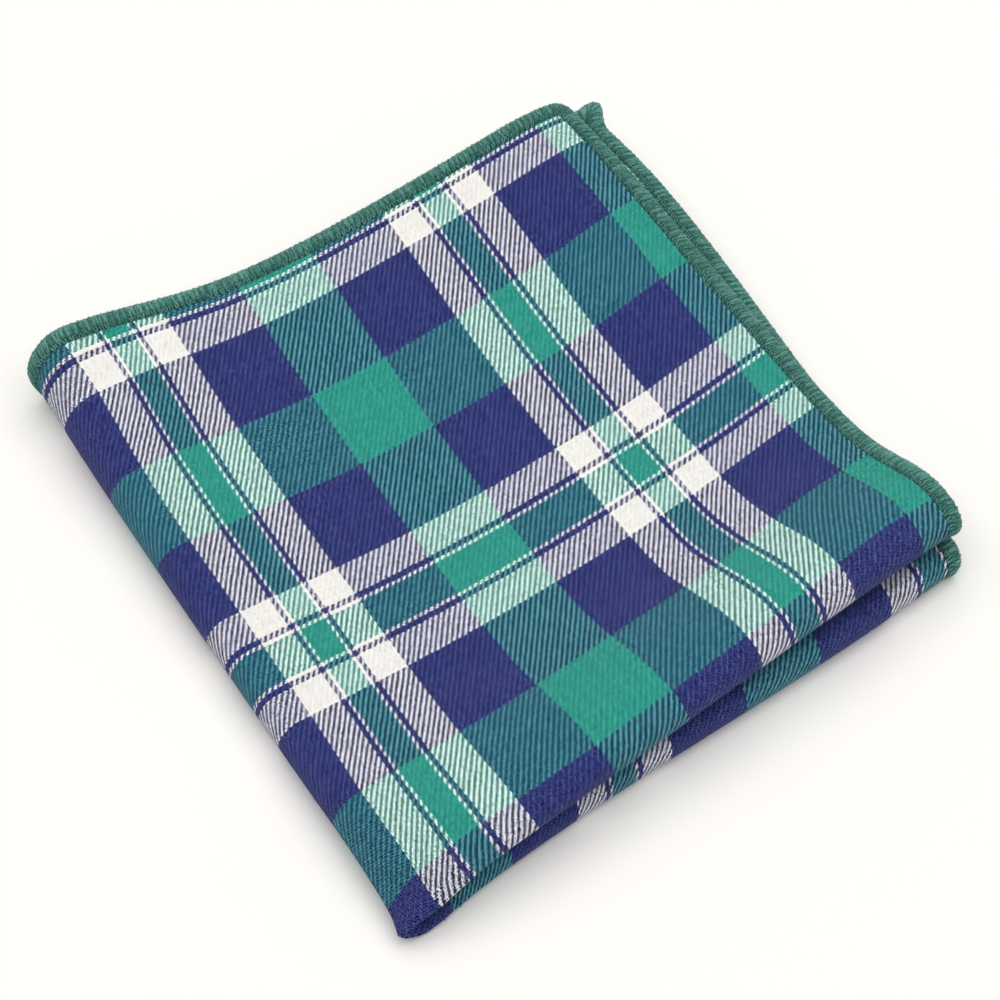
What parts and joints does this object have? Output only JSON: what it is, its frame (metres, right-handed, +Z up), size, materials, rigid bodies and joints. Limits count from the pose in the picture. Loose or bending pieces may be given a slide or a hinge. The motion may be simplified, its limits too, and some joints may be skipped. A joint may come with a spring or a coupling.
{
  "type": "folded handkerchief",
  "caption": "Square cotton handkerchief in a woven check with an overlocked edge, folded in half and in half again, lying flat.",
  "frame": {"origin": "centre of the folded handkerchief's box, on the surface that it lies on", "axes": "+Z up; +X from the single left fold towards the open right side; +Y from the doubled front fold towards the open back"},
  "size_m": [0.1201, 0.1231, 0.0165],
  "materials": {
    "cotton": "matte",
    "thread": "matte"
  },
  "bodies": {
    "root": {"handkerchief": "cotton"}
  },
  "joints": []
}
